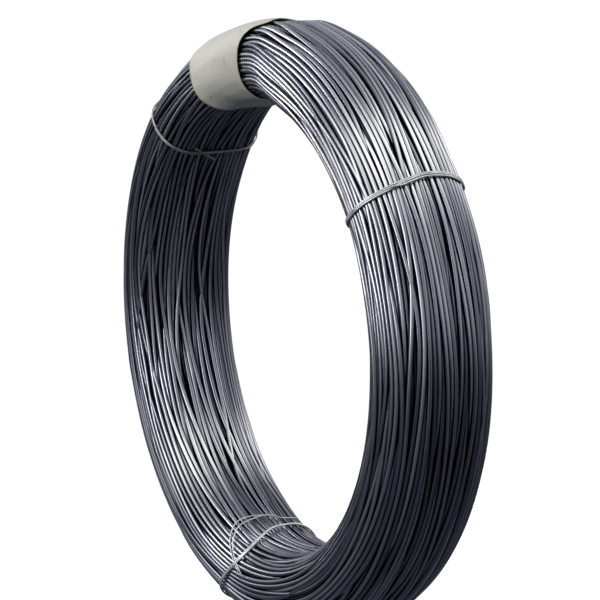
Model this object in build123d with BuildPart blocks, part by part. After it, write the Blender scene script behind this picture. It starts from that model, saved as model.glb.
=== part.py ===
from build123d import *
import math
import os

# Coil of drawn wire rod, standing on its rim as it is delivered: one rod wound layer on layer into
# a round bundle, held by three doubled binding wires and one wrapped band.
# Millimetres. The coil's axis is level and lies along Y. Z = 0 is the floor it stands on.
# An angle round the coil starts at +X and turns towards +Z.

# Winding
rod_dia = 6.5
turns_per_ridge = 2
bore_dia = 508.0
bundle_thick = 87.0
bundle_width = 130.0
squareness = 2.5
crown = 3.7
groove_depth = 5.5

# Waist, where the wrapped band pulls the bundle in. It is the light side, so it comes to rest on top.
waist_width = 111.0
waist_rim_inset = 2.5
waist_bore_inset = 4.5
waist_angle = 90.0
waist_half_span = 11.5
waist_run_out = 17.0
waist_sections = 13

# Wrapped band
band_half_span = 11.0
band_thick = 2.0
band_runs = 7

# Binding wires
tie_wire_dia = 2.5
tie_strands = 2
strand_pitch = 2.4
tie_chamfer = 0.7
girth_runs = 8
seat_clearance = 0.3
tie_angle_right = 21.3
tie_tilt_right = 6.0
tie_angle_upper_left = 121.5
tie_angle_lower_left = 242.8

# Twisted ends of the binding wires
twist_dia = 5.0
twist_tip_dia = 3.0
twist_length = 26.0
twist_sides = 6
twist_turn_right = 20.0
twist_turn_lower_left = 25.0
twist_across_upper_left = -32.0
twist_from_upper_left = -2.3
twist_to_upper_left = 2.9

# Thin wire that lies loose beside the lower left tie
loose_wire_dia = 1.6
loose_wire_sides = 6
loose_wire_clearance = 0.7
loose_wire_angle = 239.3

# Its route: places across the bore side, then turns round the -Y end, each with its angle from the
# wire's own
loose_bore_route = [(24.0, 0.0), (0.0, -2.0)]
lower_bore_route = [(-14.0, -2.4), (-34.0, -1.3)]
lower_end_route = [(-55.0, -0.6), (-42.0, 0.9), (-30.0, 2.3)]
upper_bore_route = [(-12.0, -1.2), (-34.0, 1.1)]
upper_end_route = [(-57.0, 2.1)]

bore_radius = bore_dia / 2
centre_radius = bore_radius + bundle_thick / 2
outer_radius = bore_radius + bundle_thick
coil_axis = Axis((0, 0, outer_radius), (0, 1, 0))


def section_plane(angle, tilt=0.0):
    """Plane across the bundle: local x points out from the coil's axis, local y along +Y.

    A tilt turns it about its own x, which moves its +Y side on round the coil.
    """
    a = math.radians(angle)
    t = math.radians(tilt)
    out = Vector(math.cos(a), 0, math.sin(a))
    along = Vector(-math.sin(a) * math.cos(t), -math.sin(t), math.cos(a) * math.cos(t))
    origin = out * centre_radius + Vector(0, 0, outer_radius)
    return Plane(origin=origin, x_dir=out, z_dir=along)


def bundle_at(angle):
    """Width, thickness and outward shift of the bundle at an angle: pulled in under the band."""
    t = (abs(angle - waist_angle) - waist_half_span) / waist_run_out
    t = min(max(t, 0.0), 1.0)
    pull = 1 - t * t * (3 - 2 * t)
    width = bundle_width + (waist_width - bundle_width) * pull
    thick = bundle_thick - (waist_rim_inset + waist_bore_inset) * pull
    return width, thick, (waist_bore_inset - waist_rim_inset) / 2 * pull


def girth_end(width, thick, lift, runs):
    """One end of what is pulled tight round the bundle in straight runs, a lift outside it."""
    half_thick = thick / 2 + lift
    lean = math.asin((half_thick / (half_thick + crown)) ** (squareness / 2))
    end = []
    for k in range(runs + 1):
        turn = lean * (1 - 2 * k / runs)
        out = (half_thick + crown) * abs(math.sin(turn)) ** (2 / squareness)
        across = (width / 2 + lift) * math.cos(turn) ** (2 / squareness)
        end.append((math.copysign(out, turn), across))
    return end


def turned_outline(width, thick, shift):
    """Section of the bundle, ridged all round for the turns that show on its rim, ends and bore."""
    half_thick = thick / 2
    crests = girth_end(width, thick, 0, 2 * end_ridges)
    grooves = girth_end(width, thick, -groove_depth, 2 * end_ridges)
    end = [grooves[k] if k % 2 else crests[k] for k in range(2 * end_ridges + 1)]
    land = crests[0][1]
    rim = []
    for k in range(land_steps):
        depth = groove_depth if (land_steps - k) % 2 else 0.0
        rim.append((half_thick - depth, land * k / land_steps))
    bore = [(-out, across) for out, across in reversed(rim)]
    one_side = rim + end + bore
    other_side = [(out, -across) for out, across in reversed(one_side[1:-1])]
    return [(out + shift, across) for out, across in one_side + other_side]


def girth(bundle, lift, runs, tilt=0.0):
    """Closed outline of what is pulled tight round the bundle, across a plane that may be tilted."""
    width, thick, shift = bundle
    stretch = 1 / math.cos(math.radians(tilt))
    end = [(out + shift, across * stretch) for out, across in girth_end(width, thick, lift, runs)]
    return end + [(out, -across) for out, across in reversed(end)]


def run_sag(bundle, runs):
    """How far the straight runs round the bundle would cut into its rounded ends."""
    width, thick, _ = bundle
    ends = girth_end(width, thick, 0, runs)
    middles = girth_end(width, thick, 0, 2 * runs)[1::2]
    return max(
        abs((x1 - x0) * (y0 - y) - (x0 - x) * (y1 - y0)) / math.hypot(x1 - x0, y1 - y0)
        for (x0, y0), (x1, y1), (x, y) in zip(ends, ends[1:], middles)
    )


def over_end(angle, turn, lift, side):
    """Point a lift off an end, at a turn from 90 on the rim to -90 in the bore; side 1 faces +Y."""
    t = math.radians(turn)
    out = (bundle_thick / 2 + crown + lift) * abs(math.sin(t)) ** (2 / squareness)
    across = (bundle_width / 2 + lift) * math.cos(t) ** (2 / squareness)
    return section_plane(angle).from_local_coords(Vector(math.copysign(out, t), side * across, 0))


def over_land(angle, across, lift, face):
    """Point a lift off the rim (face 1) or off the bore side (face -1)."""
    return section_plane(angle).from_local_coords(Vector(face * (bundle_thick / 2 + lift), across, 0))


def binding_wire(angle, tilt, twist_start, twist_direction, length):
    """Doubled wire pulled tight round the bundle, with its twisted end lying against the bundle.

    A tilted wire is lifted by what the bore's curve comes in beneath its skewed ends.
    """
    skew = bundle_width / 2 * math.tan(math.radians(tilt)) + tie_wire_dia
    lift = seat_clearance + run_sag(full_bundle, girth_runs) + skew**2 / bore_dia
    with BuildPart() as strand:
        with BuildSketch():
            with BuildLine():
                Polyline(*girth(full_bundle, lift + tie_wire_dia, girth_runs, tilt), close=True)
            make_face()
            with BuildLine():
                Polyline(*girth(full_bundle, lift, girth_runs, tilt), close=True)
            make_face(mode=Mode.SUBTRACT)
        extrude(amount=tie_wire_dia / 2, both=True)
        chamfer(strand.faces().filter_by(Axis.Z).edges(), tie_chamfer)
    with BuildPart() as tie:
        for k in range(tie_strands):
            shift = (k - (tie_strands - 1) / 2) * strand_pitch
            add(section_plane(angle, tilt).offset(shift) * strand.part)
        twist = Plane(origin=twist_start, z_dir=twist_direction)
        with BuildSketch(twist):
            RegularPolygon(twist_dia / 2, twist_sides)
        with BuildSketch(twist.offset(length)):
            RegularPolygon(twist_tip_dia / 2, twist_sides)
        loft(ruled=True)
    return tie


full_bundle = (bundle_width, bundle_thick, 0.0)
ridge_pitch = turns_per_ridge * rod_dia
round_end = girth_end(bundle_width, bundle_thick, 0, 8 * girth_runs)
end_length = sum(math.dist(p, q) for p, q in zip(round_end, round_end[1:]))
end_ridges = round(end_length / ridge_pitch)
land_steps = round(2 * round_end[0][1] / ridge_pitch)

# Coil: the turned bundle, open over the waist, and the waist drawn through its own sections
waist_start = waist_angle - waist_half_span - waist_run_out
waist_end = waist_angle + waist_half_span + waist_run_out
waist_step = (waist_end - waist_start) / (waist_sections - 1)

with BuildPart() as rod_coil:
    with BuildSketch(section_plane(waist_end)):
        with BuildLine():
            Polyline(*turned_outline(*full_bundle), close=True)
        make_face()
    revolve(axis=coil_axis, revolution_arc=waist_end - waist_start - 360)
    waist_faces = []
    for k in range(waist_sections):
        angle = waist_start + k * waist_step
        with BuildSketch(section_plane(angle), mode=Mode.PRIVATE) as waist_section:
            with BuildLine():
                Polyline(*turned_outline(*bundle_at(angle)), close=True)
            make_face()
        waist_faces.append(waist_section.sketch)
    loft(waist_faces)

# Band wrapped round the waist
waist = bundle_at(waist_angle)
band_lift = seat_clearance + run_sag(waist, band_runs)
with BuildPart() as wrap_band:
    with BuildSketch(section_plane(waist_angle - band_half_span)):
        with BuildLine():
            Polyline(*girth(waist, band_lift + band_thick, band_runs), close=True)
        make_face()
        with BuildLine():
            Polyline(*girth(waist, band_lift, band_runs), close=True)
        make_face(mode=Mode.SUBTRACT)
    revolve(axis=coil_axis, revolution_arc=-2 * band_half_span)

# Binding wires
twist_lift = seat_clearance + twist_dia / 2
far_start = over_end(tie_angle_right, twist_turn_right, twist_lift, 1)
far_shift = math.tan(math.radians(tie_tilt_right)) * far_start.Y
far_direction = section_plane(tie_angle_right).z_dir * -1
far_start -= far_direction * far_shift
tie_right = binding_wire(tie_angle_right, tie_tilt_right, far_start, far_direction, twist_length)

bore_start_angle = tie_angle_upper_left + twist_from_upper_left
bore_end_angle = tie_angle_upper_left + twist_to_upper_left
bore_start = over_land(bore_start_angle, twist_across_upper_left, twist_lift, -1)
bore_reach = over_land(bore_end_angle, 0.0, twist_lift, -1) - bore_start
tie_upper_left = binding_wire(tie_angle_upper_left, 0, bore_start, bore_reach, bore_reach.length)

back_start = over_end(tie_angle_lower_left, twist_turn_lower_left, twist_lift, 1)
back_direction = section_plane(tie_angle_lower_left).z_dir
tie_lower_left = binding_wire(tie_angle_lower_left, 0, back_start, back_direction, twist_length)

# Loose thin wire: a doubled loop lying in the bore, its two strands spread towards the tie
wire_lift = loose_wire_clearance + loose_wire_dia / 2
end_lift = wire_lift + run_sag(full_bundle, girth_runs)


def loose_strand(bore_route, end_route):
    """Points of one strand: across the bore side, then round the end."""
    in_bore = [
        over_land(loose_wire_angle + past, across, wire_lift, -1)
        for across, past in loose_bore_route + bore_route
    ]
    return in_bore + [
        over_end(loose_wire_angle + past, turn, end_lift, -1) for turn, past in end_route
    ]


lower_strand = loose_strand(lower_bore_route, lower_end_route)
upper_strand = loose_strand(upper_bore_route, upper_end_route)
with BuildPart() as loose_tie_wire:
    for strand_points in (lower_strand, upper_strand):
        with BuildLine() as strand_line:
            Polyline(*strand_points)
        with BuildSketch(Plane(origin=strand_points[0], z_dir=strand_points[1] - strand_points[0])):
            RegularPolygon(loose_wire_dia / 2, loose_wire_sides)
        sweep(path=strand_line.line, transition=Transition.RIGHT)

rod_coil.part.label = "rod_coil"
wrap_band.part.label = "wrap_band"
tie_right.part.label = "tie_right"
tie_upper_left.part.label = "tie_upper_left"
tie_lower_left.part.label = "tie_lower_left"
loose_tie_wire.part.label = "loose_tie_wire"

os.makedirs("parts", exist_ok=True)
export_step(rod_coil.part, "parts/rod_coil.step")
export_step(wrap_band.part, "parts/wrap_band.step")
export_step(tie_right.part, "parts/tie_right.step")
export_step(tie_upper_left.part, "parts/tie_upper_left.step")
export_step(tie_lower_left.part, "parts/tie_lower_left.step")
export_step(loose_tie_wire.part, "parts/loose_tie_wire.step")
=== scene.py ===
"""Looks of the coil of wire rod: its turns, wrapped band and binding wires, and the studio."""

import math

import bpy
import numpy as np
from mathutils import Matrix, Vector


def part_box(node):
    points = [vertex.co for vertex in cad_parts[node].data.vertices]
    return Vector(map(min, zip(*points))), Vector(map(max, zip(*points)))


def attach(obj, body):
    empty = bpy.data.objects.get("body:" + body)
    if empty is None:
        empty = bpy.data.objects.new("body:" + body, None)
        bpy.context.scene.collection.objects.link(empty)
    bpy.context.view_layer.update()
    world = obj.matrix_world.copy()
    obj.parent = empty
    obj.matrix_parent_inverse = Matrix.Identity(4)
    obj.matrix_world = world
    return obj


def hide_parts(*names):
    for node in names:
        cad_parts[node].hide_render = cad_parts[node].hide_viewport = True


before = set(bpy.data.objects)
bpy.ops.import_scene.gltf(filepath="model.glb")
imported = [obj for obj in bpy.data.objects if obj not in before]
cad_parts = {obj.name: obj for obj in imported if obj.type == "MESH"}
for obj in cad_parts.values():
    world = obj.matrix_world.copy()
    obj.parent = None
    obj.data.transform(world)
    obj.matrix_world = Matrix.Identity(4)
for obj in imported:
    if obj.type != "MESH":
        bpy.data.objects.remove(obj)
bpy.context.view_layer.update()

# Sizes in metres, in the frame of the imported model
MM = 0.001
COIL_LOW, COIL_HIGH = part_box("rod_coil")
OUTER_RADIUS = (COIL_HIGH.x - COIL_LOW.x) / 2
CENTRE = (COIL_LOW + COIL_HIGH) / 2
CENTRE.z = COIL_LOW.z + OUTER_RADIUS
BUNDLE_WIDTH = 130 * MM
BUNDLE_THICK = 87 * MM
CROWN = 3.7 * MM
SQUARENESS = 2.5
CENTRE_RADIUS = OUTER_RADIUS - BUNDLE_THICK / 2
ROD_DIA = 5.6 * MM
WAIST_WIDTH = 111 * MM
WAIST_THICK = 80 * MM
WAIST_SHIFT = 1.0 * MM
WAIST_ANGLE = 90.0
WAIST_HALF_SPAN = 11.5
WAIST_RUN_OUT = 17.0
RISE = 6.0 * MM
RISE_ANGLE = 72.5
RISE_SPREAD = 5.0
TIE_ANGLES = {"tie_right": 21.3, "tie_upper_left": 121.5, "tie_lower_left": 242.8}
TIE_PINCH = 1.6 * MM
TIE_PINCH_SPREAD = 5.0

STATIONS = 180
SEED = 7


def smooth(t):
    t = np.clip(t, 0, 1)
    return t * t * (3 - 2 * t)


def hump(away, spread):
    """A smooth hump of height 1 that falls off by a spread."""
    return np.exp(-((away / spread) ** 2))


def squared(wave):
    """A sine or cosine filled out towards the rounded corners of the section."""
    return np.sign(wave) * np.abs(wave) ** (2 / SQUARENESS)


def degrees_from(angle, other):
    """How far an angle is from another, between -180 and 180 degrees."""
    return (angle - other + 180) % 360 - 180


def ring_faces(rings, sides, closed=True):
    """Four-cornered faces between rings of points; the last ring meets the first if closed."""
    i = np.arange(rings if closed else rings - 1)[:, None] * sides
    j = (i + sides) % (rings * sides)
    k = np.arange(sides)[None]
    after = (k + 1) % sides
    return np.stack([i + k, j + k, j + after, i + after], axis=-1).reshape(-1, 4)


def ring_point(angle, out, across):
    """Points of the coil from angles in degrees and places in the bundle's section."""
    a = np.radians(angle)
    r = CENTRE_RADIUS + out
    return np.stack([r * np.cos(a), across + 0 * r, CENTRE.z + r * np.sin(a)], axis=-1)


def radial(angle):
    a = np.radians(angle)
    return np.stack([np.cos(a), 0 * a, np.sin(a)], axis=-1)


# Camera, from the fit to the photograph's outlines
PHOTO_SIZE = 600
FOCAL_PIXELS = 2651.7
CAMERA_YAW = 28.0
CAMERA_ELEVATION = -1.51
CAMERA_ROLL = 7.13
CAMERA_DISTANCE = 10.02 * CENTRE_RADIUS
CENTRE_PIXEL = (292.86, 325.92)
SENSOR_WIDTH = 36.0


def make_camera():
    yaw, rise = math.radians(CAMERA_YAW), math.radians(CAMERA_ELEVATION)
    back = Vector((math.cos(rise) * math.cos(yaw), -math.cos(rise) * math.sin(yaw), math.sin(rise)))
    right = Vector((0, 0, 1)).cross(back).normalized()
    right.rotate(Matrix.Rotation(-math.radians(CAMERA_ROLL), 3, back))
    up = back.cross(right)
    middle = PHOTO_SIZE / 2
    aim = (
        right * ((middle - CENTRE_PIXEL[0]) / FOCAL_PIXELS)
        + up * ((CENTRE_PIXEL[1] - middle) / FOCAL_PIXELS)
        - back
    )
    data = bpy.data.cameras.new("camera")
    data.sensor_width = SENSOR_WIDTH
    data.lens = SENSOR_WIDTH * FOCAL_PIXELS / PHOTO_SIZE
    camera = bpy.data.objects.new("camera", data)
    bpy.context.scene.collection.objects.link(camera)
    camera.location = CENTRE + back * CAMERA_DISTANCE
    aim.normalize()
    across = (right - aim * right.dot(aim)).normalized()
    camera.rotation_mode = "QUATERNION"
    camera.rotation_quaternion = Matrix((across, across.cross(aim), -aim)).transposed().to_quaternion()
    bpy.context.scene.camera = camera


make_camera()


# Shape of the bundle's section round the coil
def fullness_at(angle):
    """0 under the wrapped band, where the bundle is pulled in, and 1 away from it."""
    from_waist = np.abs(degrees_from(angle, WAIST_ANGLE))
    return smooth((from_waist - WAIST_HALF_SPAN) / WAIST_RUN_OUT)


def section_at(angle):
    """Half width, half thickness and radial shift of the bundle's section at an angle."""
    full = fullness_at(angle)
    half_width = (WAIST_WIDTH + (BUNDLE_WIDTH - WAIST_WIDTH) * full) / 2
    half_thick = (WAIST_THICK + (BUNDLE_THICK - WAIST_THICK) * full) / 2
    rise = RISE * hump(degrees_from(angle, RISE_ANGLE), RISE_SPREAD) / 2
    return half_width, half_thick + rise, WAIST_SHIFT * (1 - full) + rise


def pinch_at(angle):
    """How far the ties pull the bundle in at an angle."""
    pinch = 0 * angle
    for tie in TIE_ANGLES.values():
        pinch = pinch + TIE_PINCH * hump(degrees_from(angle, tie), TIE_PINCH_SPREAD)
    return pinch


# Every visible turn of the rod. Each layer is one unbroken rod that goes round the coil once for
# each turn and drifts round the bundle's girth. The turns wander, and are then pushed apart where
# they would overlap.
LAYERS = {"outer_turns": 63, "second_turns": 62, "third_turns": 54}
LAYER_PITCH = 4.5 * MM
CORE_DEPTH = 16.0 * MM
GIRTH_WANDER = 7.0 * MM
DEPTH_WANDER = 2.6 * MM
WANDER_SHORTEST = 50.0
WANDER_LONGEST = 500.0
BEND_LIMIT = 16.0
NEIGHBOURS = 14
SIDES = 8
ROUNDS = 130
ROUNDS_A_SEARCH = 8
PUSH_SHARE = 0.5
TURN_GAP = 5.4 * MM
OUTWARD_DRIFT = 0.05 * MM


def wander(rng, count, size):
    """Smooth random drift along an unbroken rod of count turns."""
    n = count * STATIONS
    turns_a_wave = np.fft.rfftfreq(n, 1 / STATIONS)
    low, high = 360 / WANDER_LONGEST, 360 / WANDER_SHORTEST
    weight = np.where((turns_a_wave > 0) & (turns_a_wave < high), 1 / np.maximum(turns_a_wave, low), 0)
    phase = rng.uniform(0, 2 * math.pi, len(weight))
    drift = np.fft.irfft(weight * np.exp(1j * phase), n)
    return drift / drift.std() * size


def girth_places(width, depth, samples=1440):
    """Closed outline of the section at a depth, as (across, out) with its running length."""
    t = np.linspace(0, 2 * math.pi, samples + 1)
    a = width / 2 - depth
    b = BUNDLE_THICK / 2 + CROWN - depth
    across = a * squared(np.cos(t))
    out = b * squared(np.sin(t))
    flat = BUNDLE_THICK / 2 - depth
    out = np.clip(out, -flat, flat)
    run = np.concatenate([[0], np.cumsum(np.hypot(np.diff(across), np.diff(out)))])
    return across, out, run


def wound_layer(rng, count, depth):
    """Places of one layer before it settles: array of turns by stations by (across, out)."""
    across, out, run = girth_places(BUNDLE_WIDTH, depth)
    n = count * STATIONS
    girth = run[-1]
    along = np.arange(n) / n * girth + wander(rng, count, GIRTH_WANDER)
    places = np.stack(
        [np.interp(along % girth, run, across), np.interp(along % girth, run, out)], axis=-1
    )
    deeper = 1 - wander(rng, count, DEPTH_WANDER)[:, None] / (BUNDLE_THICK / 2)
    return (places * deeper).reshape(count, STATIONS, 2)


def keep_inside(places, half_width, half_thick, outside):
    """Moves places back inside a rounded outline, or out of it."""
    curve = half_thick + CROWN
    level = (np.abs(places[..., 0]) / half_width) ** SQUARENESS
    level = level + (np.abs(places[..., 1]) / curve) ** SQUARENESS
    level = np.maximum(level, 1e-6) ** (1 / SQUARENESS)
    scale = np.minimum(1, 1 / level) if outside else np.maximum(1, 1 / level)
    places = places * scale[..., None]
    if outside:
        places[..., 1] = np.clip(places[..., 1], -half_thick, half_thick)
    return places


def nearest(places):
    """For each turn at each station, the turns beside it."""
    at = places.transpose(1, 0, 2)
    apart = ((at[:, :, None, :] - at[:, None, :, :]) ** 2).sum(-1)
    return np.argpartition(apart, NEIGHBOURS, axis=-1)[..., : NEIGHBOURS + 1]


def settle(layers):
    """Pushes crossing turns apart, keeps the rod stiff and the bundle in its outline."""
    counts = [len(layer) for layer in layers]
    edges = np.cumsum([0] + counts)
    places = np.concatenate(layers).astype(np.float32)
    angle = np.arange(STATIONS) * 360 / STATIONS
    pinch = pinch_at(angle)
    half_width, half_thick, shift = section_at(angle)
    places[..., 0] *= half_width / (BUNDLE_WIDTH / 2)
    places[..., 1] *= half_thick / (BUNDLE_THICK / 2)
    half_width = (half_width - ROD_DIA / 2 - pinch)[None, :]
    half_thick = (half_thick - ROD_DIA / 2 - pinch)[None, :]
    wave = [np.fft.rfftfreq(c * STATIONS, 1 / STATIONS) for c in counts]
    stiff = [np.exp(-((w / BEND_LIMIT) ** 4))[:, None] for w in wave]
    station = np.arange(STATIONS)[:, None, None]
    for turn in range(ROUNDS):
        if turn % ROUNDS_A_SEARCH == 0:
            beside = nearest(places)
        at = places.transpose(1, 0, 2)
        apart = at[:, :, None, :] - at[station, beside]
        gap = np.sqrt((apart**2).sum(-1))
        need = np.where((gap > TURN_GAP) | (gap == 0), 0, TURN_GAP - gap)
        touching = np.maximum((need > 0).sum(-1), 1)
        push = (apart * (need / (gap + 1e-7))[..., None]).sum(2) / np.sqrt(touching)[..., None]
        places = places + PUSH_SHARE * push.transpose(1, 0, 2)
        places = places * (1 + OUTWARD_DRIFT / (BUNDLE_THICK / 2))
        places = keep_inside(places, half_width, half_thick, True)
        places = keep_inside(places, half_width - CORE_DEPTH, half_thick - CORE_DEPTH, False)
        for k, (low, high) in enumerate(zip(edges, edges[1:])):
            path = places[low:high].reshape(-1, 2)
            bent = np.fft.irfft(np.fft.rfft(path, axis=0) * stiff[k], len(path), axis=0)
            places[low:high] = bent.reshape(high - low, STATIONS, 2)
    places[..., 1] += shift
    return [places[low:high] for low, high in zip(edges, edges[1:])]


def tube(path, side_ways, radius, sides, closed):
    """Mesh tube along a path. side_ways are directions that the first side faces."""
    path = np.asarray(path, float)
    count = len(path)
    if closed:
        ahead = np.roll(path, -1, 0) - np.roll(path, 1, 0)
    else:
        ahead = np.gradient(path, axis=0)
    ahead /= np.linalg.norm(ahead, axis=1)[:, None]
    first = side_ways - (side_ways * ahead).sum(1)[:, None] * ahead
    first /= np.linalg.norm(first, axis=1)[:, None]
    second = np.cross(ahead, first)
    turn = np.arange(sides) * 2 * math.pi / sides
    radius = np.broadcast_to(radius, count)[:, None, None]
    ring = first[:, None] * np.cos(turn)[None, :, None] + second[:, None] * np.sin(turn)[None, :, None]
    points = (path[:, None] + radius * ring).reshape(-1, 3)
    spans = count if closed else count - 1
    step = np.linalg.norm(np.roll(path, -1, 0) - path, axis=1)
    along = np.concatenate([[0], np.cumsum(step)])
    u0 = np.broadcast_to(along[:spans, None], (spans, sides))
    u1 = np.broadcast_to(along[1 : spans + 1, None], (spans, sides))
    v0 = np.broadcast_to(np.arange(sides)[None] / sides, (spans, sides))
    v1 = v0 + 1 / sides
    corners = [np.stack(corner, -1) for corner in ((u0, v0), (u1, v0), (u1, v1), (u0, v1))]
    uv = np.stack(corners, axis=2).reshape(-1, 2)
    faces = [ring_faces(count, sides, closed)]
    if not closed:
        faces += [np.arange(sides)[::-1][None], (np.arange(sides) + (count - 1) * sides)[None]]
    return points, faces, uv


def mesh_object(name, parts):
    """One object from several tubes, with a UV map that runs along and round each of them."""
    points, loops, starts, uvs = [], [], [], []
    offset = loop_total = 0
    for part_points, faces, uv in parts:
        for block in faces:
            loops.append((block + offset).ravel())
            starts.append(loop_total + np.arange(len(block)) * block.shape[1])
            loop_total += block.size
        uvs.append(uv)
        extra = loop_total - sum(len(u) for u in uvs)
        if extra:
            uvs.append(np.zeros((extra, 2)))
        points.append(part_points)
        offset += len(part_points)
    points, loops, starts, uvs = map(np.concatenate, (points, loops, starts, uvs))
    mesh = bpy.data.meshes.new(name)
    mesh.vertices.add(len(points))
    mesh.vertices.foreach_set("co", points.astype(np.float32).ravel())
    mesh.loops.add(len(loops))
    mesh.loops.foreach_set("vertex_index", loops.astype(np.int32))
    mesh.polygons.add(len(starts))
    mesh.polygons.foreach_set("loop_start", starts.astype(np.int32))
    mesh.update(calc_edges=True)
    mesh.uv_layers.new(name="rod").data.foreach_set("uv", uvs.astype(np.float32).ravel())
    mesh.polygons.foreach_set("use_smooth", np.ones(len(starts), bool))
    mesh.validate()
    made = bpy.data.objects.new(name, mesh)
    bpy.context.scene.collection.objects.link(made)
    return made


# Directions in which each side of a turn looks for the open, which sets the painted shade between turns,
# and the painted shade of sides towards the bore
LOOKS = np.radians(np.linspace(-66, 66, 7))
BORE_PAINTED_SHADE = 0.13


def open_share_for_painted_shade(layers):
    """Share of the outward directions in the section that no turn beside it blocks, at each vertex, made
    smaller towards the bore. It sets the rod's painted shade.
    """
    centres = np.concatenate(layers).transpose(1, 0, 2)
    beside = nearest(centres.transpose(1, 0, 2))
    round_rod = np.arange(SIDES) * 2 * math.pi / SIDES
    from_centre = np.stack([np.sin(round_rod), np.cos(round_rod)], -1) * ROD_DIA / 2
    look = round_rod[:, None] + LOOKS[None]
    look = np.stack([np.sin(look), np.cos(look)], -1)
    share = []
    for at, near in zip(centres, beside):
        away = at[near][:, None] - (at[:, None] + from_centre[None])[:, :, None]
        reach = np.einsum("tvnc,vdc->tvdn", away, look)
        miss = (away**2).sum(-1)[:, :, None] - reach**2
        itself = (near == np.arange(len(at))[:, None])[:, None, None]
        blocked = ((reach > 0) & (miss < (ROD_DIA / 2) ** 2) & ~itself).any(-1)
        seen = (~blocked @ np.cos(LOOKS)) / np.cos(LOOKS).sum()
        # Painted shade: sides that face the bore are darkened by up to this share.
        share.append(seen * (1 - BORE_PAINTED_SHADE * np.maximum(0, -from_centre[:, 1]) / (ROD_DIA / 2)))
    share = np.stack(share, 1).astype(np.float32)
    edges = np.cumsum([0] + [len(layer) for layer in layers])
    return [share[low:high] for low, high in zip(edges, edges[1:])]


def turn_tubes(name, layer, share):
    count = len(layer)
    angle = np.tile(np.arange(STATIONS) * 360 / STATIONS, count)
    path = layer.reshape(-1, 2)
    points = ring_point(angle, path[:, 1], path[:, 0])
    made = mesh_object(name, [tube(points, radial(angle), ROD_DIA / 2, SIDES, True)])
    # This share sets the painted shade of the rod between turns and towards the bore.
    painted_shade_attribute = made.data.attributes.new("open", "FLOAT", "POINT")
    painted_shade_attribute.data.foreach_set("value", share.ravel())
    return made


def node(tree, kind, **inputs):
    made = tree.nodes.new(kind)
    for key, value in inputs.items():
        made.inputs[key.replace("_", " ")].default_value = value
    return made


def ramp(tree, source, stops):
    made = tree.nodes.new("ShaderNodeValToRGB")
    points = made.color_ramp.elements
    points[0].position, points[0].color = stops[0][0], (*stops[0][1], 1)
    points[1].position, points[1].color = stops[-1][0], (*stops[-1][1], 1)
    for place, colour in stops[1:-1]:
        points.new(place).color = (*colour, 1)
    tree.links.new(source, made.inputs["Fac"])
    return made.outputs["Color"]


def noise(tree, place, scale, detail, roughness=0.5):
    made = node(tree, "ShaderNodeTexNoise", Scale=scale, Detail=detail, Roughness=roughness)
    tree.links.new(place, made.inputs["Vector"])
    return made.outputs["Fac"]


def stretched(tree, place, scale):
    made = node(tree, "ShaderNodeMapping", Scale=scale)
    tree.links.new(place, made.inputs["Vector"])
    return made.outputs["Vector"]


def calculated(tree, operation, first, second):
    """Result of one step of arithmetic on two sockets."""
    made = tree.nodes.new("ShaderNodeMath")
    made.operation = operation
    tree.links.new(first, made.inputs[0])
    tree.links.new(second, made.inputs[1])
    return made.outputs[0]


def multiplied(tree, first, second):
    """One colour multiplied by another."""
    made = tree.nodes.new("ShaderNodeMix")
    made.data_type = "RGBA"
    made.blend_type = "MULTIPLY"
    made.inputs["Factor"].default_value = 1.0
    tree.links.new(first, made.inputs["A"])
    tree.links.new(second, made.inputs["B"])
    return made.outputs["Result"]


def new_material(name):
    made = bpy.data.materials.new(name)
    made.use_nodes = True
    tree = made.node_tree
    return made, tree, tree.nodes["Principled BSDF"]


# Tones of the rod by its streaks, the painted shade they are multiplied by where a side of a turn is
# more or less open to the air between the turns beside it and towards the bore, and its gloss
ROD_TONES = [(0.4, (0.15, 0.16, 0.19)), (0.5, (0.36, 0.375, 0.405)), (0.6, (0.62, 0.63, 0.65))]
PAINTED_SHADE_TONES = [
    (0.15, (0.015, 0.015, 0.025)),
    (0.45, (0.1, 0.1, 0.12)),
    (0.65, (0.36, 0.36, 0.39)),
    (0.85, (0.85, 0.85, 0.86)),
    (1.0, (1, 1, 1)),
]
ROD_GLOSS = [(0.35, (0.2, 0.2, 0.2)), (0.65, (0.34, 0.34, 0.34))]
STREAKS = (1.2, 5.0, 1.0)
SLOW_STREAKS = (0.9, 0.0, 1.0)


def rod_material():
    """Drawn steel: dark blue-grey, streaked along the rod, each turn a little lighter or darker, with
    painted shade in the gaps between turns and towards the bore.
    """
    made, tree, shader = new_material("drawn_rod")
    uv = tree.nodes.new("ShaderNodeUVMap")
    uv.uv_map = "rod"
    streak = noise(tree, stretched(tree, uv.outputs["UV"], STREAKS), 1.0, 2.0)
    slow = noise(tree, stretched(tree, uv.outputs["UV"], SLOW_STREAKS), 1.0, 1.0)
    mean = tree.nodes.new("ShaderNodeMath")
    mean.operation = "MULTIPLY"
    mean.inputs[1].default_value = 0.5
    tree.links.new(calculated(tree, "ADD", streak, slow), mean.inputs[0])
    painted_shade_attribute = tree.nodes.new("ShaderNodeAttribute")
    painted_shade_attribute.attribute_name = "open"
    tone = ramp(tree, mean.outputs[0], ROD_TONES)
    # Painted shade between the turns and towards the bore, multiplied into the rod's colour.
    painted_shade = ramp(tree, painted_shade_attribute.outputs["Fac"], PAINTED_SHADE_TONES)
    tree.links.new(multiplied(tree, tone, painted_shade), shader.inputs["Base Color"])
    tree.links.new(ramp(tree, streak, ROD_GLOSS), shader.inputs["Roughness"])
    shader.inputs["Metallic"].default_value = 1.0
    return made


PATCH_DETAIL = 4.0
PATCH_ROUGHNESS = 0.6
PATCH_LOW = 0.35
PATCH_HIGH = 0.65


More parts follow.
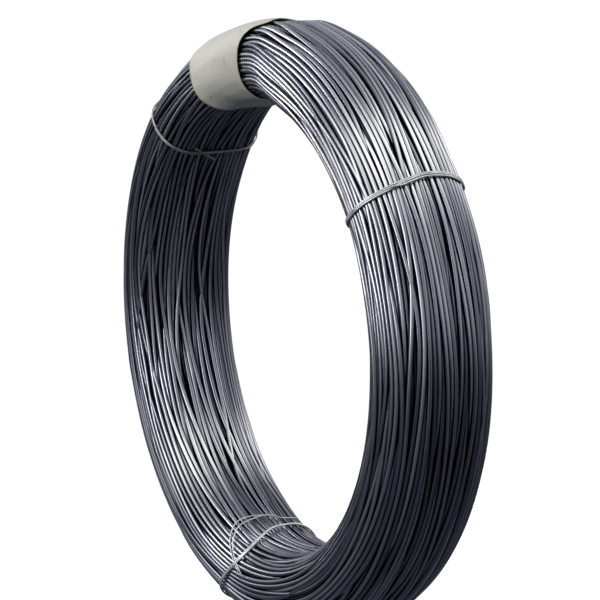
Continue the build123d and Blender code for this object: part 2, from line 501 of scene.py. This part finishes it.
def mottled_material(name, dark, light, metallic, roughness, scale):
    """Colour and gloss that drift between two values, in patches of a size set by the scale."""
    made, tree, shader = new_material(name)
    place = tree.nodes.new("ShaderNodeTexCoord").outputs["Object"]
    patches = noise(tree, place, scale, PATCH_DETAIL, PATCH_ROUGHNESS)
    colour = ramp(tree, patches, [(PATCH_LOW, dark), (PATCH_HIGH, light)])
    tree.links.new(colour, shader.inputs["Base Color"])
    low, high = (value * np.ones(3) for value in roughness)
    rough = ramp(tree, patches, [(PATCH_LOW, low), (PATCH_HIGH, high)])
    tree.links.new(rough, shader.inputs["Roughness"])
    shader.inputs["Metallic"].default_value = metallic
    return made


FILM_DARK = (0.36, 0.355, 0.31)
FILM_LIGHT = (0.45, 0.445, 0.4)
FILM_ROUGHNESS = (0.4, 0.5)
STAIN_SCALE = 14.0
SPECK_SCALE = 150.0
SPECK_TONES = [(0.26, (0.62, 0.6, 0.57)), (0.33, (1, 1, 1))]


def wrap_material():
    """Pale film with a slight stain here and there and small dark specks of dirt."""
    made = mottled_material("wrap_film", FILM_DARK, FILM_LIGHT, 0.0, FILM_ROUGHNESS, STAIN_SCALE)
    tree = made.node_tree
    colour = tree.nodes["Principled BSDF"].inputs["Base Color"]
    clean = colour.links[0].from_socket
    place = tree.nodes.new("ShaderNodeTexCoord").outputs["Object"]
    dirt = ramp(tree, noise(tree, place, SPECK_SCALE, 2.0), SPECK_TONES)
    tree.links.new(multiplied(tree, clean, dirt), colour)
    return made


rng = np.random.default_rng(SEED)
wound = [
    wound_layer(rng, count, ROD_DIA / 2 + k * LAYER_PITCH) for k, count in enumerate(LAYERS.values())
]
rod = rod_material()
settled = settle(wound)
for name, layer, share in zip(LAYERS, settled, open_share_for_painted_shade(settled)):
    turns = turn_tubes(name, layer, share)
    turns.data.materials.append(rod)
    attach(turns, "root")
    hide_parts("rod_coil")


# Dark middle of the bundle, below the turns that are modelled: its near-black colour is painted shade
# that stands for the shaded turns deep inside
CORE_SIDES = 48
CORE_PAINTED_SHADE_DARK = (0.008, 0.009, 0.012)
CORE_PAINTED_SHADE_LIGHT = (0.02, 0.021, 0.026)
CORE_ROUGHNESS = (0.6, 0.75)
CORE_SCALE = 60.0


def make_core():
    angle = np.arange(STATIONS) * 360 / STATIONS
    t = np.linspace(0, 2 * math.pi, CORE_SIDES, endpoint=False)
    depth = ROD_DIA / 2 + CORE_DEPTH
    half_width, half_thick, shift = (value[:, None] for value in section_at(angle))
    half_width = half_width - depth
    half_thick = half_thick - depth
    across = half_width * squared(np.cos(t))[None]
    out = (half_thick + CROWN) * squared(np.sin(t))[None]
    out = np.clip(out, -half_thick, half_thick) + shift
    points = ring_point(np.repeat(angle, CORE_SIDES), out.ravel(), across.ravel())
    quads = ring_faces(STATIONS, CORE_SIDES)
    return mesh_object("bundle_core", [(points, [quads], np.zeros((quads.size, 2)))])


painted_shade_core = make_core()
# Painted shade: the core is near black where the turns deep in the bundle would lie in shade.
painted_shade_core.data.materials.append(
    mottled_material("painted_shade_core", CORE_PAINTED_SHADE_DARK, CORE_PAINTED_SHADE_LIGHT, 0.0, CORE_ROUGHNESS, CORE_SCALE)
)
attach(painted_shade_core, "root")
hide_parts("rod_coil")


# Tight outlines round the turns, for the wrap and the ties
FACINGS = 360
OUTLINE_DETAIL = 40
OUTLINE_REACH = 3.0


def support_at(angle, reach):
    """How far the turns reach in each direction of the section, over a span round an angle."""
    facing = np.arange(FACINGS) * 2 * math.pi / FACINGS
    toward = np.stack([np.cos(facing), np.sin(facing)])
    everything = np.concatenate(settled)
    span = np.arange(STATIONS) * 360 / STATIONS
    near = np.abs(degrees_from(span, angle)) <= reach
    return (everything[:, near] @ toward).max(axis=(0, 1)) + ROD_DIA / 2


def outline_from(support, lift, samples):
    """Closed curve a lift outside the turns, evenly spaced from +Y through the rim, as (across, out)."""
    facing = np.arange(FACINGS) * 2 * math.pi / FACINGS
    spread = np.fft.fftfreq(FACINGS, 1 / FACINGS)
    even = np.fft.ifft(np.fft.fft(support) * hump(spread, OUTLINE_DETAIL)).real + lift
    lean = np.gradient(np.concatenate([even[-2:], even, even[:2]]), facing[1])[2:-2]
    across = even * np.cos(facing) - lean * np.sin(facing)
    out = even * np.sin(facing) + lean * np.cos(facing)
    curve = np.stack([across, out], axis=-1)
    curve = np.concatenate([curve, curve[:1]])
    run = np.concatenate([[0], np.cumsum(np.linalg.norm(np.diff(curve, axis=0), axis=1))])
    at = np.linspace(0, run[-1], samples, endpoint=False)
    return np.stack([np.interp(at, run, curve[:, 0]), np.interp(at, run, curve[:, 1])], axis=-1)


def outward_from(line):
    """Unit directions out of a closed line, or out of each of several, as (across, out)."""
    along = np.roll(line, -1, -2) - np.roll(line, 1, -2)
    outward = np.stack([along[..., 1], -along[..., 0]], -1)
    return outward / np.linalg.norm(outward, axis=-1)[..., None]


# Wrapped band: a smooth sheet pulled tight over the waist
WRAP_LIFT = 0.9 * MM
WRAP_THICK = 0.8 * MM
WRAP_GIRTH = 240
WRAP_LENGTH = 36
WRAP_FROM = 73
WRAP_TO = 103
WRAP_OUTLINES = 16
WRAP_EVENING = 3
WRAP_CREASE = 0.35 * MM
WRAP_CREASES = 14
CREASE_WAVES_ROUND = (1, 9)
CREASE_WAVES_ALONG = 2.5

# Of each edge: its angle, the size and place of its slow wave, then size, place and spread of each
# bulge. Sizes are in degrees, and places are shares of the girth.
WRAP_RIGHT = (78.6, 0.6, 0.56, [(-4.5, 0.34, 0.06), (5.0, 0.14, 0.09)])
WRAP_LEFT = (100.4, 1.4, 0.42, [(-2.2, 0.73, 0.1)])


def wrap_edge(t, angle, wave, wave_place, bulges):
    """Angle of an edge at a share t of the girth, from +Y through the rim, -Y and the bore."""
    edge = angle + wave * np.cos(2 * math.pi * (t - wave_place))
    for size, place, spread in bulges:
        edge = edge + size * hump(t - place, spread)
    return edge


def make_wrap():
    rng = np.random.default_rng(SEED + 1)
    t = np.arange(WRAP_GIRTH) / WRAP_GIRTH
    right, left = (wrap_edge(t, *edge) for edge in (WRAP_RIGHT, WRAP_LEFT))
    share = np.linspace(0, 1, WRAP_LENGTH)
    spans = np.linspace(WRAP_FROM, WRAP_TO, WRAP_OUTLINES)
    supports = [support_at(angle, OUTLINE_REACH) for angle in spans]
    outlines = np.stack([outline_from(support, WRAP_LIFT, WRAP_GIRTH) for support in supports])
    for _ in range(WRAP_EVENING):
        outlines[1:-1] = (outlines[:-2] + 2 * outlines[1:-1] + outlines[2:]) / 4
    rows = []
    column = np.arange(WRAP_GIRTH)
    for part in share:
        angle = right + (left - right) * part
        place = np.interp(angle, spans, np.arange(len(spans)))
        low = np.clip(place.astype(int), 0, len(spans) - 2)
        rest = (place - low)[:, None]
        rows.append(outlines[low, column] * (1 - rest) + outlines[low + 1, column] * rest)
    rows = np.stack(rows)
    angles = right[None] + (left - right)[None] * share[:, None]
    crease = np.zeros(angles.shape)
    for _ in range(WRAP_CREASES):
        waves_round = rng.integers(*CREASE_WAVES_ROUND)
        waves_along = rng.uniform(-CREASE_WAVES_ALONG, CREASE_WAVES_ALONG)
        phase = rng.uniform(0, 2 * math.pi)
        size = 1 / (waves_round + 2 * abs(waves_along))
        waves = waves_round * t[None] + waves_along * share[:, None]
        crease += size * np.sin(2 * math.pi * waves + phase)
    crease *= WRAP_CREASE / crease.std()
    outward = outward_from(rows)
    outer = rows + outward * (WRAP_THICK + crease + WRAP_CREASE)[..., None]
    inner = rows + outward * (crease + WRAP_CREASE)[..., None]
    skins = [ring_point(angles, skin[..., 1], skin[..., 0]) for skin in (outer, inner)]
    points = np.concatenate([skins[0], skins[1][::-1]])
    quads = ring_faces(len(points), WRAP_GIRTH)[:, [0, 3, 2, 1]]
    return mesh_object("wrap_sheet", [(points.reshape(-1, 3), [quads], np.zeros((quads.size, 2)))])


wrap = make_wrap()
wrap.data.materials.append(wrap_material())
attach(wrap, "root")
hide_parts("wrap_band")


# Binding wires. Places and spans round the girth are shares of it. The rise at a crossing and the
# drift of a strand are shares of the wire's diameter.
TIE_SAMPLES = 220
TIE_LIFT = 0.3 * MM
WIRE_SIDES = 8
SWAP_SPAN = 0.05
SWAP_BACK_AT = 0.98
SWAP_BACK_SPAN = 0.04
CROSSING_RISE = 0.9
CROSSING_SPREAD = 0.02
STRAND_DRIFT = 0.25
DRIFT_WAVES = (1, 2, 3)
DRIFT_PHASES = 6


def tie_strands(angle, tilt, slew, strands, wire_dia, crossing, seed):
    """Strands pulled tight round the bundle side by side; two of them swap over at a crossing.

    The slew is how many degrees the tie leans at one facing of the section, that facing and its reach.
    """
    rng = np.random.default_rng(seed)
    line = outline_from(support_at(angle, OUTLINE_REACH), wire_dia / 2 + TIE_LIFT, TIE_SAMPLES)
    outward = outward_from(line)
    facing = np.degrees(np.arctan2(line[:, 1], line[:, 0]))
    slew_size, slew_facing, slew_reach = slew
    slewed = angle + slew_size * hump(degrees_from(facing, slew_facing), slew_reach)
    t = np.arange(TIE_SAMPLES) / TIE_SAMPLES
    swap = smooth((t - crossing) / SWAP_SPAN + 0.5)
    back = smooth((SWAP_BACK_AT - t) / SWAP_BACK_SPAN)
    tubes = []
    for k in range(strands):
        beside = (k - (strands - 1) / 2) * wire_dia
        raised = np.zeros(TIE_SAMPLES)
        if k == 0:
            beside = beside + wire_dia * swap * back
            raised = wire_dia * CROSSING_RISE * hump(t - crossing, CROSSING_SPREAD)
        elif k == 1:
            beside = beside - wire_dia * swap * back
        drift = 0
        for n in DRIFT_WAVES:
            size = rng.uniform(-STRAND_DRIFT, STRAND_DRIFT) * wire_dia
            drift = drift + size * np.sin(2 * math.pi * n * t + rng.uniform(0, DRIFT_PHASES))
        place = line + outward * raised[:, None]
        along = beside + drift + place[:, 0] * math.tan(math.radians(tilt))
        around = slewed + np.degrees(along / (CENTRE_RADIUS + place[:, 1]))
        path = ring_point(around, place[:, 1], place[:, 0])
        tubes.append(tube(path, radial(around), wire_dia / 2, WIRE_SIDES, True))
    return tubes


TAIL_SAMPLES = 60
TAIL_TURNS = 3.5


def twisted_tail(start, ahead, outward, wire_dia, length):
    """Two strands twisted round each other, lying along a straight line."""
    ahead = Vector(ahead).normalized()
    outward = Vector(outward)
    outward = (outward - ahead * outward.dot(ahead)).normalized()
    beside = ahead.cross(outward)
    s = np.linspace(0, 1, TAIL_SAMPLES)
    radius = wire_dia / 2
    tubes = []
    for phase in (0, math.pi):
        swing = 2 * math.pi * TAIL_TURNS * s + phase
        path = (
            np.array(start)
            + np.outer(s * length, ahead)
            + (radius * np.cos(swing))[:, None] * np.array(outward)
            + (radius * np.sin(swing))[:, None] * np.array(beside)
        )
        side_ways = np.tile(np.array(outward), (TAIL_SAMPLES, 1))
        tubes.append(tube(path, side_ways, radius, WIRE_SIDES, False))
    return tubes


def place_at(angle, across, out):
    return ring_point(np.array(float(angle)), np.array(float(out)), np.array(float(across)))


def along_at(angle):
    a = math.radians(angle)
    return np.array([-math.sin(a), 0, math.cos(a)])


def finish_tie(name, tubes, material, replaced):
    made = mesh_object(name, tubes)
    made.data.materials.append(material)
    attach(made, "root")
    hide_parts(replaced)


TIE_DARK, TIE_LIGHT = (0.48, 0.49, 0.5), (0.66, 0.67, 0.68)
# The second, darker pair of colours is a copy of the binding wire's colour with painted shade, for the
# upper left tie.
TIE_PAINTED_SHADE_DARK, TIE_PAINTED_SHADE_LIGHT = (0.2, 0.2, 0.21), (0.32, 0.32, 0.33)
WIRE_SCALE = 70.0
tie_steel = mottled_material("binding_wire", TIE_DARK, TIE_LIGHT, 0.8, (0.38, 0.5), WIRE_SCALE)
painted_shade_tie_steel = mottled_material("binding_wire_painted_shade", TIE_PAINTED_SHADE_DARK, TIE_PAINTED_SHADE_LIGHT, 0.9, (0.4, 0.5), WIRE_SCALE)

# The tails of the right and the lower left tie lie on the hidden end
HIDDEN_END = (0, 1, 0)
END_TAIL_DIA = 2.1 * MM
END_TAIL_LENGTH = 26 * MM

RIGHT_SHIFT = -1.1
RIGHT_TILT = 2.7
RIGHT_SLEW = (2.0, 80, 50)
RIGHT_STRANDS = 3
RIGHT_DIA = 2.0 * MM
RIGHT_CROSSING = 0.34
RIGHT_TAIL_SHIFT = 1.3
RIGHT_TAIL_ACROSS = 66.3 * MM
RIGHT_TAIL_OUT = 2 * MM

right_angle = TIE_ANGLES["tie_right"]
right_tubes = tie_strands(
    right_angle + RIGHT_SHIFT, RIGHT_TILT, RIGHT_SLEW, RIGHT_STRANDS, RIGHT_DIA, RIGHT_CROSSING, SEED + 2
)
right_start = place_at(right_angle + RIGHT_TAIL_SHIFT, RIGHT_TAIL_ACROSS, RIGHT_TAIL_OUT)
right_ahead = -along_at(right_angle)
right_tubes += twisted_tail(right_start, right_ahead, HIDDEN_END, END_TAIL_DIA, END_TAIL_LENGTH)
finish_tie("tie_right_wires", right_tubes, tie_steel, "tie_right")

# The tail of the upper left tie lies in the bore
UPPER_DIA = 1.7 * MM
UPPER_CROSSING = 0.86
UPPER_TAIL_FROM = -2.3
UPPER_TAIL_TO = 2.9
UPPER_TAIL_ACROSS = -32 * MM
UPPER_TAIL_OUT = -(BUNDLE_THICK / 2 + 2.2 * MM)
NO_SLEW = (0.0, 0, 90)

upper_angle = TIE_ANGLES["tie_upper_left"]
upper_tubes = tie_strands(upper_angle, 0.0, NO_SLEW, 2, UPPER_DIA, UPPER_CROSSING, SEED + 3)
upper_start = place_at(upper_angle + UPPER_TAIL_FROM, UPPER_TAIL_ACROSS, UPPER_TAIL_OUT)
upper_ahead = place_at(upper_angle + UPPER_TAIL_TO, 0, UPPER_TAIL_OUT) - upper_start
upper_length = float(np.linalg.norm(upper_ahead))
upper_outward = -radial(np.array(upper_angle))
upper_tubes += twisted_tail(upper_start, upper_ahead, upper_outward, UPPER_DIA, upper_length)
# The upper left tie gets the binding wire's colour with painted shade.
finish_tie("tie_upper_left_wires", upper_tubes, painted_shade_tie_steel, "tie_upper_left")

LOWER_SLEW = (8.0, -146, 38)
LOWER_DIA = 2.3 * MM
LOWER_CROSSING = 0.2
LOWER_TAIL_SHIFT = 0.4
LOWER_TAIL_ACROSS = 65 * MM
LOWER_TAIL_OUT = 12 * MM

lower_angle = TIE_ANGLES["tie_lower_left"]
lower_tubes = tie_strands(lower_angle, 0.0, LOWER_SLEW, 2, LOWER_DIA, LOWER_CROSSING, SEED + 4)
lower_start = place_at(lower_angle + LOWER_TAIL_SHIFT, LOWER_TAIL_ACROSS, LOWER_TAIL_OUT)
lower_ahead = along_at(lower_angle)
lower_tubes += twisted_tail(lower_start, lower_ahead, HIDDEN_END, END_TAIL_DIA, END_TAIL_LENGTH)
finish_tie("tie_lower_left_wires", lower_tubes, tie_steel, "tie_lower_left")


# Loose end of thin binding wire: two strands that lie on the turns, beside the lower left tie.
# They bend at one facing of the section. Towards the hidden end they dip along the coil and come
# back, and towards the end that shows they sweep on under the tie. Angles, facings and reaches are
# in degrees, and the lift of the lower strand is a share of its diameter.
LOOSE_DIA = 1.4 * MM
LOOSE_BEND_ANGLE = 236.4
LOOSE_BEND_FACING = -98.0
LOOSE_DIP = 3.0
LOOSE_DIP_REACH = 43.0
LOOSE_DIP_SPREAD = 22.0
LOOSE_SWEEP = 16.0
LOOSE_SHOWN_REACH = 68.0
LOOSE_PARTING_START = -28.0
LOOSE_PARTING_SPAN = 50.0
LOOSE_LIFT = 0.6
LOOSE_OUTLINE_REACH = 1.5
LOOSE_OUTLINE_SAMPLES = 720
LOOSE_SAMPLES = 90
LOOSE_EVENING = 12
# Of each strand: how far it reaches past the bend to the hidden end, and how far apart it lies
LOOSE_STRANDS = [(58.0, 0.0), (30.0, 2.1)]


def on_turns(angle, facing, lift):
    """Place a lift above the turns, seen from the section's middle at a facing in radians."""
    line = outline_from(support_at(angle, LOOSE_OUTLINE_REACH), lift, LOOSE_OUTLINE_SAMPLES)
    turned = np.arctan2(line[:, 1], line[:, 0]) - facing
    near = np.abs((turned + math.pi) % (2 * math.pi) - math.pi).argmin()
    return ring_point(np.array(angle), line[near, 1], line[near, 0])


def loose_strand(hidden_reach, apart, lift):
    reach = np.linspace(-hidden_reach, LOOSE_SHOWN_REACH, LOOSE_SAMPLES)
    dip = LOOSE_DIP * hump(reach + LOOSE_DIP_REACH, LOOSE_DIP_SPREAD)
    sweep = LOOSE_SWEEP * (np.maximum(reach, 0) / LOOSE_SHOWN_REACH) ** 3
    parting = apart * smooth((reach - LOOSE_PARTING_START) / LOOSE_PARTING_SPAN)
    angles = LOOSE_BEND_ANGLE + dip + sweep + parting
    facings = np.radians(LOOSE_BEND_FACING - reach)
    path = np.array([on_turns(a, f, lift) for a, f in zip(angles, facings)])
    for _ in range(LOOSE_EVENING):
        path[1:-1] = (path[:-2] + 2 * path[1:-1] + path[2:]) / 4
    return tube(path, radial(angles), LOOSE_DIA / 2, WIRE_SIDES, False)


loose_tubes = [
    loose_strand(*strand, LOOSE_DIA * (LOOSE_LIFT + k)) for k, strand in enumerate(LOOSE_STRANDS)
]
finish_tie("loose_strands", loose_tubes, tie_steel, "loose_tie_wire")


# Studio: a pale floor, and a white wall round it that only the camera sees
FLOOR_SIZE = 60.0
FLOOR_GREY = 0.86
FLOOR_ROUGHNESS = 0.9
FLOOR_GLOW = 0.12
WALL_RADIUS = 20.0
WALL_HEIGHT = 12.0
WALL_SIDES = 96
WALL_ROUGHNESS = 0.5
WALL_GLOW = 1.0


def backdrop_piece(name, corners, faces, grey, roughness, glow):
    """A plain pale surface that gives off some light, and that the object doesn't reflect."""
    mesh = bpy.data.meshes.new(name)
    mesh.from_pydata(corners, [], faces)
    made = bpy.data.objects.new(name, mesh)
    bpy.context.scene.collection.objects.link(made)
    pale, _, shader = new_material(name)
    shader.inputs["Base Color"].default_value = (grey, grey, grey, 1)
    shader.inputs["Roughness"].default_value = roughness
    shader.inputs["Emission Color"].default_value = (1, 1, 1, 1)
    shader.inputs["Emission Strength"].default_value = glow
    mesh.materials.append(pale)
    made.visible_glossy = False
    made.visible_diffuse = False
    return made


def make_floor():
    half = FLOOR_SIZE / 2
    corners = [(-half, -half, 0), (half, -half, 0), (half, half, 0), (-half, half, 0)]
    faces = [(0, 1, 2, 3)]
    floor = backdrop_piece("floor", corners, faces, FLOOR_GREY, FLOOR_ROUGHNESS, FLOOR_GLOW)


def make_wall():
    turn = np.arange(WALL_SIDES) * 2 * math.pi / WALL_SIDES
    ring = [(WALL_RADIUS * math.cos(a), WALL_RADIUS * math.sin(a)) for a in turn]
    corners = [(x, y, z) for z in (0, WALL_HEIGHT) for x, y in ring]
    faces = [
        (k, (k + 1) % WALL_SIDES, WALL_SIDES + (k + 1) % WALL_SIDES, WALL_SIDES + k)
        for k in range(WALL_SIDES)
    ]
    wall = backdrop_piece("backdrop", corners, faces, 0, WALL_ROUGHNESS, WALL_GLOW)
    wall.visible_shadow = False


# Light all round: a sky that brightens along its axis, and a long soft box overhead. The box's edges
# are an axis and the cosines between which it fades in.
SKY_AXIS = (0.259, 0.0, 0.966)
SKY = [
    (0.0, (0.07, 0.078, 0.1)),
    (0.3, (0.09, 0.1, 0.125)),
    (0.44, (0.17, 0.18, 0.215)),
    (0.6, (0.52, 0.535, 0.59)),
    (0.85, (0.6, 0.62, 0.69)),
    (1.0, (0.55, 0.57, 0.64)),
]
BAND_EDGES = [
    ((-0.53, 0.0, 0.848), 0.07, 0.42),
    ((-0.53, 0.0, 0.848), 0.68, 0.46),
    ((0.966, 0.0, -0.259), -0.55, -0.28),
    ((0.259, 0.0, 0.966), 0.1, 0.4),
]
BAND_LIGHT = (3.5, 3.4, 3.2)


def make_world():
    world = bpy.data.worlds.new("studio")
    bpy.context.scene.world = world
    world.use_nodes = True
    tree = world.node_tree
    place = tree.nodes.new("ShaderNodeTexCoord")

    def toward(axis, start, end, kind):
        lean = tree.nodes.new("ShaderNodeVectorMath")
        lean.operation = "DOT_PRODUCT"
        lean.inputs[1].default_value = axis
        tree.links.new(place.outputs["Generated"], lean.inputs[0])
        edge = tree.nodes.new("ShaderNodeMapRange")
        edge.interpolation_type = kind
        edge.inputs["From Min"].default_value = start
        edge.inputs["From Max"].default_value = end
        tree.links.new(lean.outputs["Value"], edge.inputs["Value"])
        return edge.outputs["Result"]

    sky = ramp(tree, toward(SKY_AXIS, -0.5, 0.5, "LINEAR"), SKY)
    strips = [toward(*edge, "SMOOTHSTEP") for edge in BAND_EDGES]
    band = strips[0]
    for strip in strips[1:]:
        band = calculated(tree, "MULTIPLY", band, strip)
    lit = tree.nodes.new("ShaderNodeMix")
    lit.data_type = "RGBA"
    lit.inputs["B"].default_value = (*BAND_LIGHT, 1)
    tree.links.new(band, lit.inputs["Factor"])
    tree.links.new(sky, lit.inputs["A"])
    tree.links.new(lit.outputs["Result"], tree.nodes["Background"].inputs["Color"])
    tree.nodes["Background"].inputs["Strength"].default_value = 1.0


# Panels: direction from the coil's centre, distance, size and radiance
PANELS = {
    "side_window": ((0.314, -0.93, 0.206), 2.4, (0.7, 1.2), 7.0),
    "back_window": ((-0.573, -0.55, 0.568), 2.6, (1.0, 1.0), 8.0),
}


def make_panel(name, direction, distance, size, radiance):
    """Soft light of a given radiance, facing the coil's centre."""
    place = CENTRE + Vector(direction).normalized() * distance
    data = bpy.data.lights.new(name, "AREA")
    data.shape = "RECTANGLE"
    data.size, data.size_y = size
    data.energy = radiance * math.pi * size[0] * size[1]
    light = bpy.data.objects.new(name, data)
    bpy.context.scene.collection.objects.link(light)
    light.location = place
    light.rotation_mode = "QUATERNION"
    light.rotation_quaternion = (CENTRE - place).to_track_quat("-Z", "Y")
    light.visible_camera = False


make_floor()
make_wall()
make_world()
for name, panel in PANELS.items():
    make_panel(name, *panel)
bpy.context.scene.view_settings.view_transform = "Standard"
